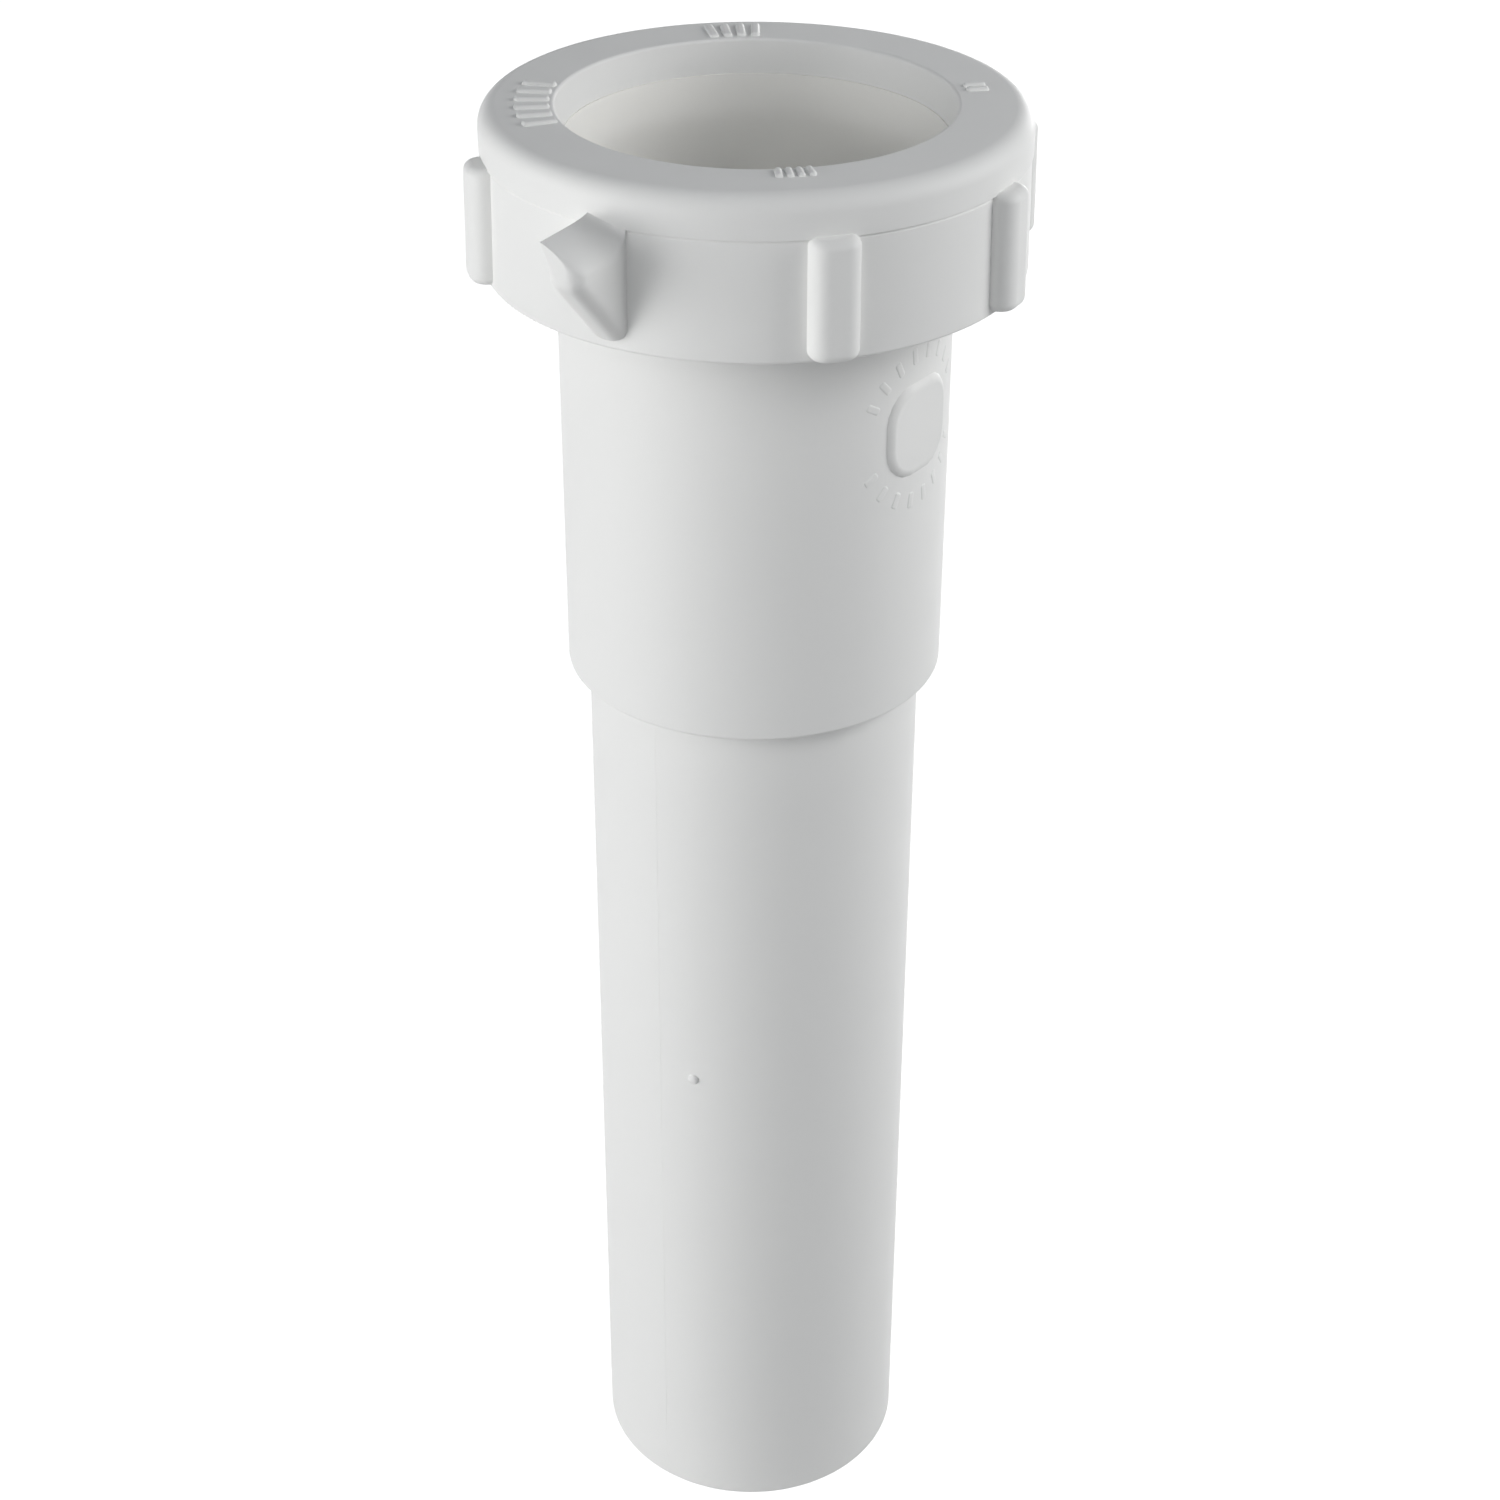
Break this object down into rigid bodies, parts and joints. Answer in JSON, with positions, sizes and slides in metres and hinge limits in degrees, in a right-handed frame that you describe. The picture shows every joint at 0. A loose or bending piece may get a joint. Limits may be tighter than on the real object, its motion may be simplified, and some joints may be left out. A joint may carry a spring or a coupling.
{
  "type": "basin waste tail pipe",
  "caption": "White plastic slip-joint tail pipe: a plain tail that pushes into a trap, and a wider socket whose winged nut and washer seal on the waste outlet above.",
  "frame": {"origin": "centre of the tail's end, on the surface that the pipe stands on", "axes": "+Z along the tube from its tail to the slip nut, -Y towards the side that the picture shows"},
  "size_m": [0.0508, 0.0548, 0.1524],
  "materials": {
    "tube": "satin moulded polypropylene",
    "washer": "soft waxy polyethylene",
    "nut": "satin moulded polypropylene"
  },
  "bodies": {
    "tube": {"extension_tube": "tube"},
    "washer": {"slip_washer": "washer"},
    "nut": {"slip_nut": "nut"}
  },
  "joints": [
    {"name": "washer_lift", "type": "slide", "parent": "tube", "child": "washer", "axis": [0, 0, 1], "range_m": [0, 0.0083]},
    {"name": "nut_turn", "type": "hinge", "parent": "washer", "child": "nut", "pos_m": [0, 0, 0.145], "axis": [0, 0, 1], "range_deg": [0, 1350]}
  ],
  "couplings": [
    {"joint": "washer_lift", "follows": "nut_turn", "m_per_rad": 0.00035152}
  ]
}
